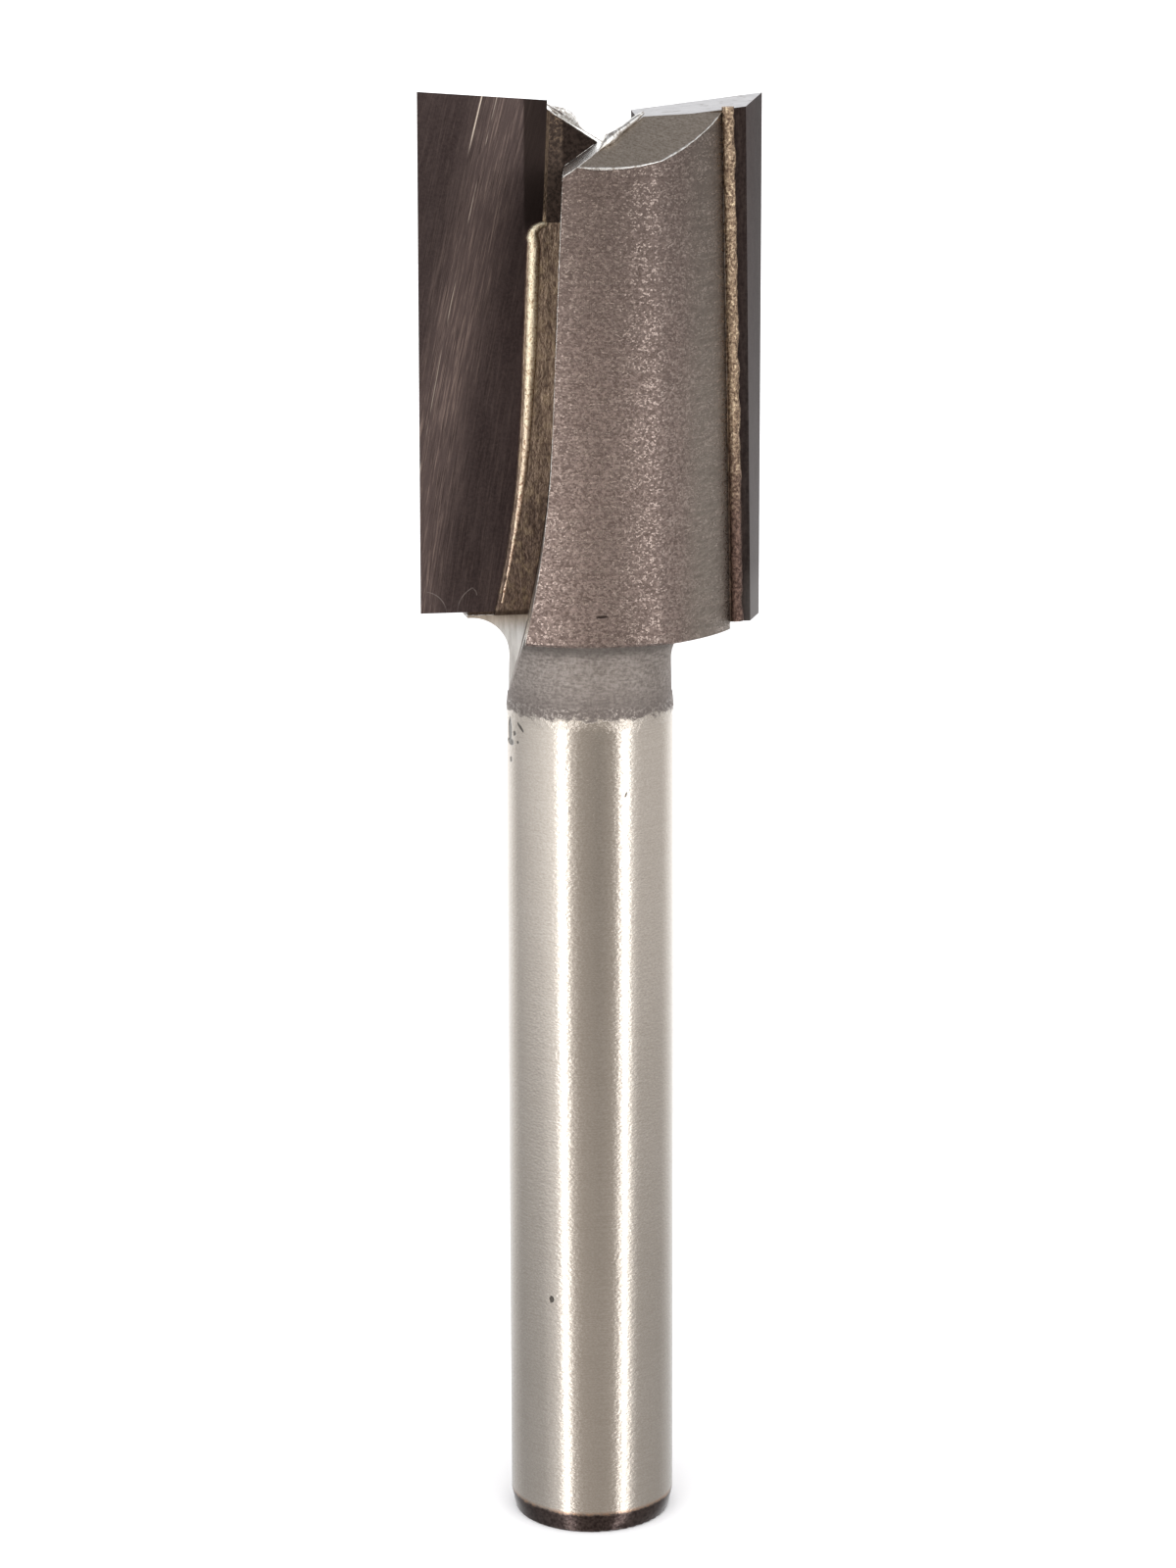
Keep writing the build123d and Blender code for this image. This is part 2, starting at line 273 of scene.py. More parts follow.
def flute_steel():
    """Walls and floors left by the flute cutter: bright at the run-out, with stains above it and painted
    shade on the web between the gashes.
    """
    f = Finish("milled_flute_steel")
    strokes = f.noise(f.stretched(3.0, 3.0, 0.5), 2.0, 4.0, 0.6)
    blotches = f.noise(f.place, 1.1, 4.0, 0.65)
    grain = f.noise(f.place, 8.0, 3.0, 0.7)
    height = f.ragged_height(blotches, 1.4)
    bright = f.mix(f.fade(strokes, 0.3, 0.7), (0.50, 0.485, 0.46), (0.70, 0.69, 0.67))
    # the bright metal turns tan past the head's underside
    tan = f.mix(f.fade(strokes, 0.3, 0.7), (0.235, 0.190, 0.145), (0.37, 0.315, 0.255))
    bright = f.mix(f.fade(f.z, head_base_mm - 0.7, head_base_mm + 0.15), bright, tan)
    grey = f.mix(f.fade(strokes, 0.3, 0.7), (0.19, 0.163, 0.148), (0.28, 0.245, 0.222))
    brown = f.mix(f.fade(grain, 0.36, 0.64), (0.052, 0.039, 0.033), (0.120, 0.088, 0.072))
    flecks = f.calc("MULTIPLY", f.fade(grain, 0.52, 0.66, 0.0, 0.6), f.fade(f.z, 52.4, 53.8))
    brown = f.mix(flecks, brown, (0.34, 0.25, 0.165))
    black = f.mix(f.fade(grain, 0.35, 0.65), (0.020, 0.014, 0.012), (0.052, 0.038, 0.032))
    # the shoulder beside a tip has brown stains, and the web between the gashes is painted black as shade
    # in the notch
    web = f.fade(f.calc("ABSOLUTE", f.x), 1.02, 0.90)
    brown_stain_and_black_shade = f.mix(web, brown, black)
    stained_and_shaded = f.mix(f.fade(height, tip_base_mm + 11.0, tip_base_mm + 13.5), grey, brown_stain_and_black_shade)
    above_run_out = f.fade(height, head_base_mm + 0.3, head_base_mm + 1.5)
    colour = f.mix(above_run_out, bright, stained_and_shaded)
    rough = f.mix(above_run_out, (0.25, 0.25, 0.25), (0.48, 0.48, 0.48))
    # the clean run-out is left frosted by the cutter, so it also scatters light
    frosted = f.bump(f.calc("ADD", strokes, grain), 0.02, 0.5)
    metallic = f.fade(height, head_base_mm + 0.3, head_base_mm + 1.5, 0.3, 1.0)
    return f.metal(colour, rough, frosted, metallic)


def facet_steel():
    """Facets ground on the steel at the cutting end: olive grey, with faint strokes."""
    f = Finish("facet_ground_steel")
    strokes = f.noise(f.stretched(1.5, 12.0, 1.5, (0.0, 0.0, 0.35)), 1.6, 3.0, 0.6)
    grain = f.noise(f.place, 11.0, 3.0, 0.7)
    tone = f.weighed(strokes, 0.35, grain)
    colour = f.mix(f.fade(tone, 0.30, 0.70), (0.255, 0.212, 0.172), (0.50, 0.435, 0.375))
    return f.metal(colour, 0.44, f.bump(tone, 0.02, 0.8))


def gash_steel():
    """Floors of the end gashes, freshly cut and bright."""
    f = Finish("bright_gash_steel")
    strokes = f.noise(f.stretched(1.0, 8.0, 1.0), 2.0, 3.0, 0.6)
    spots = f.fade(f.noise(f.place, 3.5, 2.0), 0.64, 0.70)
    colour = f.mix(f.fade(strokes, 0.3, 0.7), (0.66, 0.65, 0.63), (0.90, 0.90, 0.89))
    colour = f.mix(f.calc("MULTIPLY", spots, 0.6), colour, (0.14, 0.10, 0.08))
    return f.metal(colour, 0.22, f.bump(strokes, 0.006, 0.5))


def burr_steel():
    """Bright burrs along the ground edges."""
    f = Finish("burr_steel")
    spots = f.fade(f.noise(f.place, 7.0, 2.0), 0.35, 0.6)
    return f.metal(f.mix(spots, (0.52, 0.48, 0.44), (0.90, 0.89, 0.87)), 0.25)


def carbide(side):
    """Fine ground carbide, its face streaked by a wheel that left curved strokes."""
    f = Finish(f"ground_carbide_{side}")
    way = 1.0 if side == "a" else -1.0
    reach = f.calc("MULTIPLY", f.x, way)
    down = f.calc("SUBTRACT", f.z, 54.0)
    # where the curved stroke through this place comes out at the cutting end
    bend = f.calc("MULTIPLY", f.calc("MULTIPLY", down, down), -0.0028)
    stroke = f.calc("ADD", f.calc("SUBTRACT", reach, f.calc("MULTIPLY", down, 0.25)), bend)
    spot = f.add("ShaderNodeCombineXYZ", {0: stroke, 1: f.calc("MULTIPLY", f.y, 0.3),
                                          2: f.calc("MULTIPLY", f.z, 0.05)}).outputs[0]
    fine = f.noise(f.vector("MULTIPLY", spot, (17.0, 3.0, 11.0)), 1.0, 4.0, 0.75)
    thin = f.noise(f.vector("MULTIPLY", spot, (36.0, 3.0, 18.0)), 1.0, 2.0)
    broad = f.noise(f.vector("MULTIPLY", spot, (1.9, 1.0, 6.0)), 1.0, 3.0, 0.6)
    broken = f.noise(f.vector("MULTIPLY", spot, (9.0, 1.0, 14.0)), 1.0, 2.0)
    grain = f.noise(f.place, 9.0, 3.0, 0.7)
    lit = f.between(stroke, -4.05, -2.30, 0.80)
    base = f.mix(f.fade(broad, 0.3, 0.7), (0.058, 0.042, 0.043), (0.088, 0.066, 0.066))
    base = f.mix(f.calc("MULTIPLY", lit, 0.72), base, (0.205, 0.155, 0.150))
    base = f.mix(f.fade(grain, 0.32, 0.68, 0.0, 0.28), base, (0.19, 0.145, 0.138))
    streak = f.calc("MULTIPLY", f.fade(fine, 0.46, 0.66), f.fade(lit, 0.0, 1.0, 0.16, 0.9))
    streak = f.calc("MULTIPLY", streak, f.fade(broken, 0.3, 0.6, 0.3, 0.9))
    colour = f.mix(streak, base, (0.43, 0.33, 0.295))
    colour = f.mix(f.fade(thin, 0.45, 0.32, 0.0, 0.55), colour, (0.045, 0.033, 0.032))
    colour = f.mix(f.fade(f.z, 43.0, 54.0, 0.10, 0.34), colour, (0.030, 0.022, 0.021))
    # one long bright scratch, and a broken one beside it
    scratch = f.calc("MULTIPLY", f.between(stroke, -4.13, -4.09, 0.02), f.fade(f.z, 52.5, 53.6))
    second = f.calc("MULTIPLY", f.between(stroke, -3.56, -3.535, 0.018), f.fade(broken, 0.45, 0.6))
    scratch = f.calc("MAXIMUM", scratch, f.calc("MULTIPLY", second, 0.6))
    colour = f.mix(scratch, colour, (0.95, 0.83, 0.72))
    # darker along the inner edge towards the cutting end
    inner = f.calc("MULTIPLY", f.fade(reach, -2.44, -2.34), f.fade(f.z, 49.6, 50.3))
    colour = f.mix(f.calc("MULTIPLY", inner, 0.85), colour, (0.030, 0.022, 0.020))
    if side == "a":
        chip = f.mark(-5.02, 51.35, 0.09, 0.42)
        colour = f.mix(f.calc("MULTIPLY", chip, 0.75), colour, (0.018, 0.014, 0.014))
        # hair-fine curved scratches near the lower corner: centre, radius, left and right end
        arcs = ((-6.25, 35.65, 0.87, -6.1, -5.42), (-3.96, 35.7, 1.02, -4.95, -4.42),
                (-4.58, 36.33, 0.33, -4.42, -4.2))
        for x, z, radius, left, right in arcs:
            across, up = f.calc("SUBTRACT", f.x, x), f.calc("SUBTRACT", f.z, z)
            away = f.calc("SQRT", f.calc("ADD", f.calc("MULTIPLY", across, across),
                                         f.calc("MULTIPLY", up, up)))
            arc = f.calc("MULTIPLY", f.between(away, radius - 0.012, radius + 0.012, 0.015),
                         f.between(f.x, left, right, 0.08))
            arc = f.calc("MULTIPLY", arc, f.calc("GREATER_THAN", f.z, z))
            arc = f.calc("MULTIPLY", arc, f.fade(broken, 0.3, 0.5, 0.3, 0.9))
            colour = f.mix(arc, colour, (0.34, 0.30, 0.29))
    rough = f.calc("ADD", 0.30, f.calc("MULTIPLY", fine, 0.12))
    scored = f.calc("ADD", fine, f.calc("MULTIPLY", grain, 0.5))
    return f.metal(colour, rough, f.bump(scored, 0.006, 0.6))


def carbide_end():
    """End relief of a tip, ground last and bright."""
    f = Finish("bright_ground_carbide")
    strokes = f.noise(f.stretched(1.0, 9.0, 1.0, (0.0, 0.0, 0.17)), 2.0, 3.0, 0.6)
    spots = f.fade(f.noise(f.stretched(1.0, 2.0, 1.0), 2.6, 2.0), 0.62, 0.70)
    colour = f.mix(f.fade(strokes, 0.3, 0.7), (0.31, 0.305, 0.318), (0.43, 0.425, 0.438))
    colour = f.mix(f.calc("MULTIPLY", spots, 0.6), colour, (0.12, 0.10, 0.09))
    return f.metal(colour, 0.28, f.bump(strokes, 0.008, 0.5))


def carbide_back():
    """Reliefs and back of a tip, dark beside the alloy and finely ground towards the edge."""
    f = Finish("dark_ground_carbide")
    strokes = f.noise(f.stretched(4.0, 4.0, 0.7), 2.5, 3.0, 0.6)
    grain = f.noise(f.place, 9.0, 3.0, 0.7)
    tone = f.weighed(strokes, 0.5, grain)
    dark = f.mix(f.fade(tone, 0.35, 0.65), (0.030, 0.021, 0.020), (0.065, 0.048, 0.044))
    ground = f.mix(f.fade(tone, 0.35, 0.65), (0.030, 0.025, 0.024), (0.058, 0.051, 0.048))
    low = f.fade(f.z, tip_base_mm + 2.2, tip_base_mm + 0.8, 0.0, 0.6)
    ground = f.mix(low, ground, (0.14, 0.132, 0.128))
    edge = f.fade(f.calc("ABSOLUTE", f.x), 5.45, 6.15)
    return f.metal(f.mix(edge, dark, ground), 0.34, f.bump(tone, 0.008, 0.6),
                   specular_tint=(0.62, 0.60, 0.60, 1.0))


def braze_alloy():
    """Stained alloy of the seams: brown, with gold and copper grains, and painted shade where it lies in
    the tip's shade.
    """
    f = Finish("stained_and_shaded_braze_alloy")
    lumps = f.noise(f.place, 2.2, 4.0, 0.65)
    grain = f.noise(f.stretched(1.0, 1.0, 0.45), 11.0, 3.0, 0.7)
    high = f.fade(f.z, tip_base_mm + 1.5, tip_base_mm + 9.0)
    brown = f.mix(f.fade(grain, 0.35, 0.65), (0.105, 0.074, 0.060), (0.26, 0.190, 0.152))
    tan = f.mix(f.fade(grain, 0.35, 0.65), (0.20, 0.142, 0.108), (0.52, 0.40, 0.30))
    drawn = f.noise(f.stretched(5.0, 5.0, 0.4), 1.0, 3.0, 0.6)
    colour = f.mix(high, brown, tan)
    colour = f.mix(f.fade(drawn, 0.55, 0.35, 0.0, 0.55), colour, (0.085, 0.058, 0.045))
    colour = f.mix(f.fade(lumps, 0.48, 0.72, 0.0, 0.45), colour, (0.55, 0.43, 0.28))
    # painted shade: where the alloy runs beneath the tip, and along the thin seam above the bead, it lies
    # in the tip's shade and is made nearly black
    painted_shade_under_tip = f.fade(f.z, tip_base_mm + 0.12, tip_base_mm - 0.02)
    seam = f.fade(f.z, tip_base_mm + bead_top_mm + 0.05, tip_base_mm + bead_top_mm + 0.4)
    colour = f.mix(f.calc("MULTIPLY", f.calc("MAXIMUM", painted_shade_under_tip, seam), 0.8), colour, (0.055, 0.038, 0.028))
    return f.metal(colour, 0.44, f.bump(f.calc("ADD", lumps, grain), 0.05, 0.8))


def seam_alloy():
    """Alloy down the back of a tip: brown with gold specks, coppery and dark lower down."""
    f = Finish("brown_seam_alloy")
    lumps = f.noise(f.place, 1.6, 3.0, 0.6)
    grain = f.noise(f.place, 9.0, 4.0, 0.75)
    high = f.ragged_height(lumps, 5.0)
    brown = f.mix(f.fade(grain, 0.36, 0.60), (0.12, 0.078, 0.055), (0.52, 0.38, 0.265))
    brown = f.mix(f.fade(grain, 0.55, 0.64), brown, (0.95, 0.80, 0.56))
    copper = f.mix(f.fade(grain, 0.38, 0.64), (0.070, 0.043, 0.036), (0.27, 0.178, 0.145))
    colour = f.mix(f.fade(high, tip_base_mm + 3.5, tip_base_mm + 8.5), copper, brown)
    return f.metal(colour, 0.36, f.bump(grain, 0.07, 0.9))


def bright_alloy():
    """Clean skin of the run alloy: gold, copper lower down, grainy."""
    f = Finish("bright_braze_alloy")
    lumps = f.noise(f.place, 3.0, 3.0, 0.6)
    grain = f.noise(f.place, 9.0, 4.0, 0.75)
    low = f.fade(f.z, tip_base_mm + 2.0, tip_base_mm + 11.5, 1.0, 0.0)
    gold = f.mix(f.fade(grain, 0.34, 0.54), (0.50, 0.34, 0.20), (1.0, 0.90, 0.68))
    copper = f.mix(f.fade(grain, 0.36, 0.56), (0.30, 0.170, 0.115), (0.95, 0.74, 0.58))
    colour = f.mix(f.calc("MULTIPLY", low, f.fade(lumps, 0.25, 0.5)), gold, copper)
    return f.metal(colour, 0.30, f.bump(grain, 0.05, 0.8))


# ---- the flute's shape, in millimetres --------------------------------------------------

inward = Vector((-cos(hook), -sin(hook), 0.0))
forward = Vector((-sin(hook), cos(hook), 0.0))
face_up = Vector((0.0, 0.0, cos(shear))) - forward * sin(shear)
face_out = forward * cos(shear) + Vector((0.0, 0.0, sin(shear)))
face_corner = Vector((cutting_radius_mm, 0.0, tip_base_mm))


def face_point(u, v, out=0.0):
    """Point of side "b" by its place on the tip's face, and how far it stands out of it."""
    return face_corner + inward * u + face_up * v + face_out * out


def wall_start(inset):
    v = run_out_mm / cos(shear)
    u = (cutting_radius_mm - wall_mm + v * sin(shear) * sin(hook)) / cos(hook)
    return u - cos(wall_lean) * inset, v + sin(wall_lean) * inset


def wall_place(v, inset):
    """Distance inward of the flute wall, moved out by inset, at this height on the face."""
    u0, v0 = wall_start(inset)
    if v >= v0:
        return u0 + (v - v0) * sin(wall_lean) / cos(wall_lean)
    radius = cutter_mm - inset
    turn = asin(min(1.0, sin(wall_lean) + (v0 - v) / radius))
    return u0 - radius * (cos(wall_lean) - cos(turn))


def steel_corner(z):
    """Where the steel's skin meets the alloy behind tip "b", at this height."""
    back = sin(shear) / cos(shear) * (z - tip_base_mm) + back_mm / cos(shear)
    start = Vector((cutting_radius_mm, 0.0, z)) - forward * back
    centre = Vector((*relief_centre_mm, z))
    way = start - centre
    half = way.dot(inward)
    return start + inward * (-half - sqrt(half * half - way.length_squared + relief_radius_mm ** 2))


# ---- pieces -----------------------------------------------------------------------------


def merged_copy(node):
    """The CAD node's mesh as a closed working copy."""
    mesh = bmesh.new()
    mesh.from_mesh(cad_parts[node].data)
    bmesh.ops.remove_doubles(mesh, verts=mesh.verts, dist=1e-6)
    return mesh


def piece_from(mesh, name, slot, *finishes):
    """A finished mesh as a piece that rides with the bit."""
    data = bpy.data.meshes.new(name)
    mesh.to_mesh(data)
    mesh.free()
    piece = bpy.data.objects.new(name, data)
    bpy.context.collection.objects.link(piece)
    for finish in finishes:
        data.materials.append(finish)
    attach(piece, "root")
    return piece


def sharpen(mesh, angle):
    """Smooth faces, parted at every edge that turns by more than the angle."""
    for face in mesh.faces:
        face.smooth = True
    for edge in mesh.edges:
        edge.smooth = len(edge.link_faces) == 2 and edge.calc_face_angle() < angle


def swept_line_tree():
    """Node tree that turns paths into round, uneven lines of metal.

    A path is a chain of edges, whose points carry a "thickness": the line's radius there.
    """
    tree = bpy.data.node_groups.new("swept_line", "GeometryNodeTree")
    ports = tree.interface
    ports.new_socket("Paths", in_out="INPUT", socket_type="NodeSocketGeometry")
    ports.new_socket("Unevenness", in_out="INPUT", socket_type="NodeSocketFloat")
    ports.new_socket("Lumps per metre", in_out="INPUT", socket_type="NodeSocketFloat")
    ports.new_socket("Sides", in_out="INPUT", socket_type="NodeSocketInt")
    ports.new_socket("Step", in_out="INPUT", socket_type="NodeSocketFloat")
    ports.new_socket("Metal", in_out="INPUT", socket_type="NodeSocketMaterial")
    ports.new_socket("Lines", in_out="OUTPUT", socket_type="NodeSocketGeometry")

    def add(kind, **settings):
        node = tree.nodes.new(kind)
        for name, value in settings.items():
            setattr(node, name, value)
        return node

    def join(source, output, target, socket):
        tree.links.new(source.outputs[output], target.inputs[socket])

    ask = add("NodeGroupInput")
    chain = add("GeometryNodeMeshToCurve")
    even = add("GeometryNodeResampleCurve", mode="LENGTH")
    thickness = add("GeometryNodeInputNamedAttribute", data_type="FLOAT")
    thickness.inputs["Name"].default_value = "thickness"
    width = add("GeometryNodeSetCurveRadius")
    section = add("GeometryNodeCurvePrimitiveCircle")
    section.inputs["Radius"].default_value = 1.0
    sweep = add("GeometryNodeCurveToMesh")
    sweep.inputs["Fill Caps"].default_value = True
    spot = add("GeometryNodeInputPosition")
    lumps = add("ShaderNodeTexNoise")
    centred = add("ShaderNodeVectorMath", operation="SUBTRACT")
    centred.inputs[1].default_value = (0.5, 0.5, 0.5)
    shift = add("ShaderNodeVectorMath", operation="SCALE")
    uneven = add("GeometryNodeSetPosition")
    real = add("GeometryNodeRealizeInstances")
    metal = add("GeometryNodeSetMaterial")
    give = add("NodeGroupOutput")
    join(ask, "Paths", chain, "Mesh")
    join(chain, "Curve", even, "Curve")
    join(ask, "Step", even, "Length")
    join(even, "Curve", width, "Curve")
    join(thickness, "Attribute", width, "Radius")
    join(ask, "Sides", section, "Resolution")
    join(width, "Curve", sweep, "Curve")
    join(section, "Curve", sweep, "Profile Curve")
    if "Scale" in sweep.inputs:
        join(thickness, "Attribute", sweep, "Scale")
    join(sweep, "Mesh", uneven, "Geometry")
    join(spot, "Position", lumps, "Vector")
    join(ask, "Lumps per metre", lumps, "Scale")
    join(lumps, "Color", centred, 0)
    join(centred, "Vector", shift, 0)
    join(ask, "Unevenness", shift, "Scale")
    join(shift, "Vector", uneven, "Offset")
    join(uneven, "Geometry", real, "Geometry")
    join(real, "Geometry", metal, "Geometry")
    join(ask, "Metal", metal, "Material")
    join(metal, "Geometry", give, "Lines")
    return tree


def swept_lines(paths, tree, uneven_mm, lumps, sides, step_mm, metal):
    """Plain mesh of lines along paths, each a list of places and radii in millimetres."""
    mesh = bpy.data.meshes.new("paths")
    places, edges, radii = [], [], []
    for path in paths:
        edges += [(len(places) + n, len(places) + n + 1) for n in range(len(path) - 1)]
        places += [mm(*place) for place, radius in path]
        radii += [mm(radius) for place, radius in path]
    mesh.from_pydata(places, edges, [])
    mesh.attributes.new("thickness", "FLOAT", "POINT").data.foreach_set("value", radii)
    carrier = bpy.data.objects.new("paths", mesh)
    bpy.context.collection.objects.link(carrier)
    modifier = carrier.modifiers.new("swept_line", "NODES")
    modifier.node_group = tree
    wanted = {"Unevenness": mm(uneven_mm), "Lumps per metre": lumps * 1000.0, "Sides": sides,
              "Step": mm(step_mm), "Metal": metal}
    for port in tree.interface.items_tree:
        if port.in_out == "INPUT" and port.name in wanted:
            modifier[port.identifier] = wanted[port.name]
    carrier.update_tag()
    seen = carrier.evaluated_get(bpy.context.evaluated_depsgraph_get())
    result = bpy.data.meshes.new_from_object(seen)
    bpy.data.objects.remove(carrier)
    bpy.data.meshes.remove(mesh)
    for face in result.polygons:
        face.use_smooth = True
    return result


def skin_kind(face):
    """How a face of the steel was worked: 0 shank, 1 head's outside, 2 flute, 3 facet, 4 gash."""
    centre, normal = face.calc_center_median() * 1000, face.normal
    outward = Vector((centre.x, centre.y, 0)).normalized()
    radius = Vector((centre.x, centre.y)).length
    turned = normal.dot(outward) > 0.86 and abs(normal.z) < 0.3
    turned_shank = turned and radius < 3.3
    shank_end = radius < 3.2 and centre.z < 30
    if centre.z < head_base_mm - 0.01 and (turned_shank or shank_end):
        return 0
    # the fillet under the head belongs to the shank, the rest of the underside to the head
    if centre.z < head_base_mm + 0.2 and normal.z < -0.02 and abs(normal.x) < 0.93:
        return 0 if radius < 4.6 else 1
    if turned and radius > 4.8:
        return 1
    if normal.z > 0.3:
        return 3 if abs(normal.y) > 0.4 else 4
    return 2


def burr_paths(mesh):
    """Chains along the ends of the facets and gashes and down the lobes' leading edges."""
    facet_mm, gash_mm, lobe_mm = 0.045, 0.04, 0.012
    pushed_up_mm = 0.17
    paths = []
    for edge in mesh.edges:
        if edge.smooth or len(edge.link_faces) != 2:
            continue
        kinds = sorted(face.material_index for face in edge.link_faces)
        low, high = kinds
        if kinds == [1, 3]:
            radius = facet_mm
        elif high == 4 and low in (1, 2, 3):
            radius = gash_mm
        elif kinds == [1, 2] and edge.verts[0].co.z > mm(head_base_mm + 0.6):
            radius = lobe_mm
        else:
            continue
        ends = [vertex.co * 1000 for vertex in edge.verts]
        if kinds == [3, 4]:
            # thicker past the middle, where it was pushed up against the tip
            way = -1.0 if ends[0].y > 0.0 else 1.0
            ends.sort(key=lambda end: end.x * way)
            spots = [ends[0].lerp(ends[1], step / 12) for step in range(13)]
            sizes = [radius + pushed_up_mm * max(0.0, min(1.0, (spot.x * way - 0.3) / 0.4))
                     for spot in spots]
            paths.append([(spot + Vector((0, 0, 0.8 * (size - radius))), size)
                          for spot, size in zip(spots, sizes)])
        else:
            paths.append([(end, radius) for end in ends])
    return [[(spot, size * (0.75 + 0.9 * noise.noise(spot * 0.9))) for spot, size in path]
            for path in joined(paths)]


def first_join(paths):
    """The first two paths of one thickness that meet without a corner, and both in one."""
    def key(spot):
        return tuple(round(value, 3) for value in spot[0])

    for first in paths:
        for second in paths:
            if first is second or first[0][1] != second[0][1]:
                continue
            for one, two in ((first, second), (first[::-1], second), (first, second[::-1]),
                             (first[::-1], second[::-1])):
                if key(one[-1]) != key(two[0]):
                    continue
                arriving, leaving = one[-1][0] - one[-2][0], two[1][0] - two[0][0]
                if arriving.angle(leaving) < radians(25):
                    return first, second, one + two[1:]
    return None


def joined(pieces):
    """Short paths joined end to end into long ones."""
    paths = [list(path) for path in pieces]
    while found := first_join(paths):
        first, second, whole = found
        paths.remove(first)
        paths.remove(second)
        paths.append(whole)
    return paths


def make_bit_body():
    """Shank, neck and fluted head, with a finish for each way the steel was worked."""
    mesh = merged_copy("steel_body")
    # the step at the top of the ground shank is worn into a gentle slope
    for vertex in mesh.verts:
        if abs(vertex.co.z - mm(ground_top_mm + neck_step_mm)) < mm(0.01):
            vertex.co.z += mm(step_wear_mm)
    bmesh.ops.dissolve_limit(mesh, angle_limit=radians(0.4), verts=mesh.verts, edges=mesh.edges)
    sharpen(mesh, radians(24))
    for face in mesh.faces:
        face.material_index = skin_kind(face)
    burrs = burr_paths(mesh)
    body = piece_from(mesh, "bit_body", "steel", shank_steel(), head_steel(), flute_steel(), facet_steel(),
                      gash_steel())
    return body, burrs


def make_burrs(paths, tree):
    """Fine raised burrs left along the ground edges."""
    thin_end = 0.35
    thinned = [[(place, radius * (thin_end if n in (0, len(path) - 1) else 1.0))
                for n, (place, radius) in enumerate(path)] for path in paths]
    burrs = swept_lines(thinned, tree, uneven_mm=0.045, lumps=6.0, sides=6, step_mm=0.12,
                        metal=burr_steel())
    piece = bpy.data.objects.new("edge_burrs", burrs)
    bpy.context.collection.objects.link(piece)
    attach(piece, "root")


def make_tip(side, end, back):
    """Carbide tip: its streaked face, its bright end relief and its dark back and reliefs."""
    mesh = merged_copy(f"carbide_tip_{side}")
    sharpen(mesh, radians(20))
    for face in mesh.faces:
        normal = half_turn[side] @ face.normal
        if normal.z > 0.7:
            face.material_index = 1
        elif normal.dot(face_out) < 0.8:
            face.material_index = 2
    return piece_from(mesh, f"tip_{side}", "carbide", carbide(side), end, back)


def bead_ridge():
    """Path of the raised rim of the alloy beside tip "b", round its upper end and down."""
    rim_out_mm = 0.10
    path = []
    for step in range(7):
        angle = radians(90 * step / 6)
        inset = bead_mm - 0.72 + 0.52 * sin(angle)
        v = bead_top_mm - 0.66 + 0.48 * cos(angle)
        path.append((face_point(wall_place(v, inset), v, rim_out_mm), 0.10 + 0.13 * step / 6))
    v = bead_top_mm - 0.95
    while v > 0.25:
        thick = 0.075 + 0.155 * max(0.0, min(1.0, (v - 1.5) / 8.0))
        inset = bead_mm - 0.07 - thick + 0.08 * (v / bead_top_mm - 0.6)
        path.append((face_point(wall_place(v, inset), v, rim_out_mm), thick))
        v -= 0.35
    path.append((face_point(wall_place(0.12, bead_mm - 0.12), 0.12, 0.06), 0.03))
    return path


def back_seam():
    """Path of the alloy squeezed out between the steel and the back of tip "b"."""
    path = []
    z = tip_base_mm + 0.05
    while z < overall_mm - 0.34:
        wave = noise.noise(Vector((0.0, 0.0, z * 1.3)))
        lump = noise.noise(Vector((3.0, 0.0, z * 3.7)))
        low = (overall_mm - z) / (overall_mm - tip_base_mm)
        place = steel_corner(z) - inward * (0.21 + 0.05 * low + 0.03 * wave) - forward * 0.02
        path.append((place, 0.22 + 0.03 * wave + 0.03 * lump))
        z += 0.15
    return path


def make_braze(side, stained_and_shaded, bright, seam, tree):
    """Alloy round a tip: its skin, with its stains and painted shade beneath the tip and on the upper
    seam, the bright rim over the seam and the seam behind.
    """
    mesh = merged_copy(f"braze_{side}")
    turn = half_turn[side]
    for vertex in mesh.verts:
        place = turn @ vertex.co * 1000 - face_corner
        u, v, out = place.dot(inward), place.dot(face_up), place.dot(face_out)
        # the bead's skin sinks to a thin uneven layer, and the bright rim stands out of it
        if out > 0.05 and v < bead_top_mm + 0.3:
            inset = wall_place(v, 0.0) - u
            hollow = 0.10 + 0.05 * noise.noise(Vector((u * 3.0, v * 0.8, 0.0)))
            out_new = min(out, hollow if inset < bead_mm - 0.3 else 0.16)
            vertex.co += turn @ face_out * mm(out_new - out)
    sharpen(mesh, radians(40))
    for number, path, metal in ((1, bead_ridge(), bright), (2, back_seam(), seam)):
        line = swept_lines([path], tree, uneven_mm=0.05, lumps=3.5, sides=12, step_mm=0.09,
                           metal=metal)
        line.transform(turn)
        own = len(mesh.faces)
        mesh.from_mesh(line)
        mesh.faces.ensure_lookup_table()
        for face in mesh.faces[own:]:
            face.material_index = number
        bpy.data.meshes.remove(line)
    return piece_from(mesh, f"run_braze_{side}", "braze", stained_and_shaded, bright, seam)


line_tree = swept_line_tree()
body, burrs = make_bit_body()
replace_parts(body, "steel_body")
make_burrs(burrs, line_tree)
# the first of these finishes holds the alloy's stains and painted shade beneath the tip
stained_and_shaded, bright, seam = braze_alloy(), bright_alloy(), seam_alloy()
end, back = carbide_end(), carbide_back()
for side in half_turn:
    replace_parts(make_tip(side, end, back), f"carbide_tip_{side}")
    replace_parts(make_braze(side, stained_and_shaded, bright, seam, line_tree), f"braze_{side}")

# ---- studio -----------------------------------------------------------------------------


